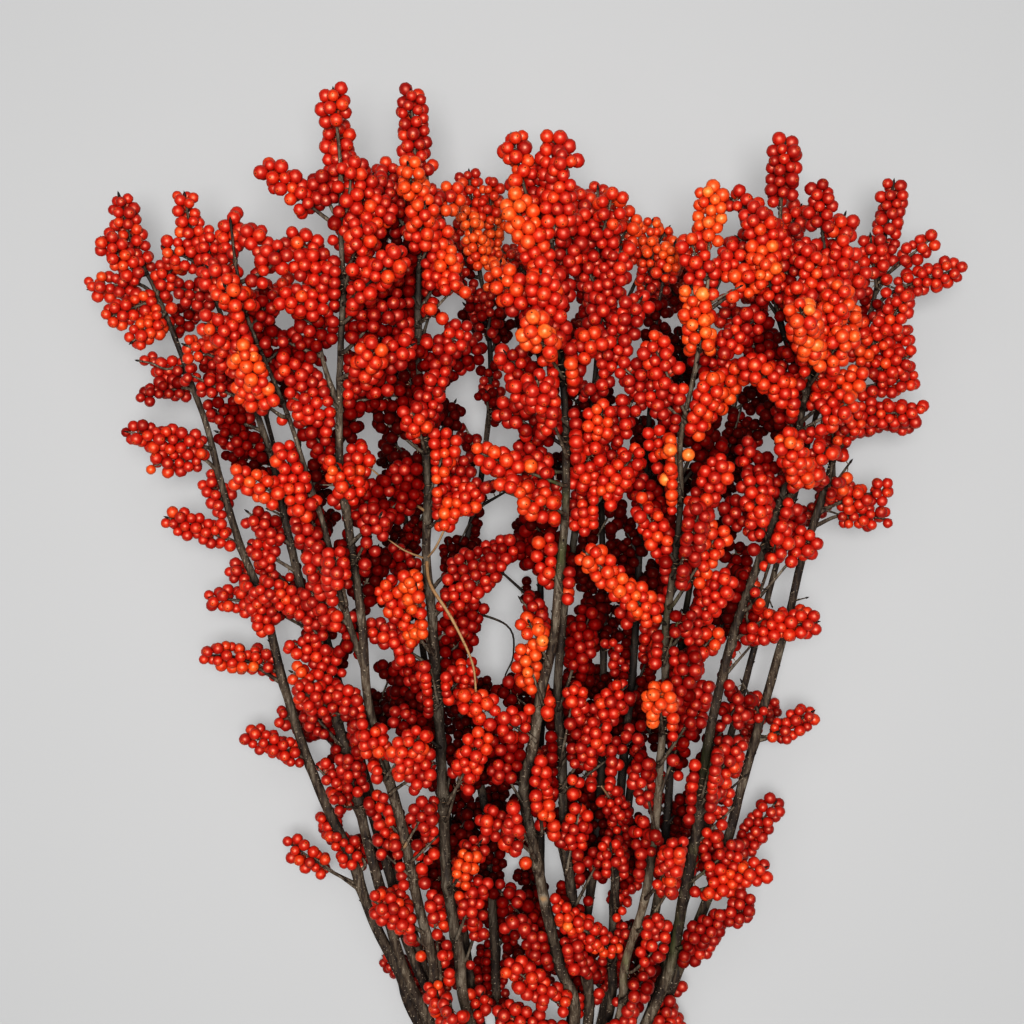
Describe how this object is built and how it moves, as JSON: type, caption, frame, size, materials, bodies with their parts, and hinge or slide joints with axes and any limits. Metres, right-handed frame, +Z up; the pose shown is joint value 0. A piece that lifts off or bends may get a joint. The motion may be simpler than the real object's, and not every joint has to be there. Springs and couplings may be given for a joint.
{
  "type": "winterberry bunch",
  "caption": "Cut bunch of leafless winterberry branches, dark stems set with dense clusters of red-orange berries, tied with twine near the cut ends.",
  "frame": {"origin": "centre of the bunch in plan, on the surface that it lies on", "axes": "+Y along the stems from the cut ends to the tips, +X to the right in the view from above with the tips up, +Z up from the surface"},
  "size_m": [0.6187, 0.8848, 0.256],
  "materials": {
    "berries": "glossy, red to orange",
    "bark": "matte dark grey-brown bark",
    "twine": "rough natural fibre"
  },
  "bodies": {
    "root": {"branch_01": "berries", "branch_02": "berries", "branch_03": "berries", "branch_04": "berries", "branch_05": "berries", "branch_06": "berries", "branch_07": "berries", "branch_08": "berries", "branch_09": "berries", "branch_10": "berries", "branch_11": "berries", "branch_12": "berries", "branch_13": "berries", "branch_14": "berries", "branch_15": "berries", "branch_16": "berries", "branch_17": "berries", "branch_18": "berries", "branch_19": "berries", "twine_tie": "twine"}
  },
  "joints": []
}
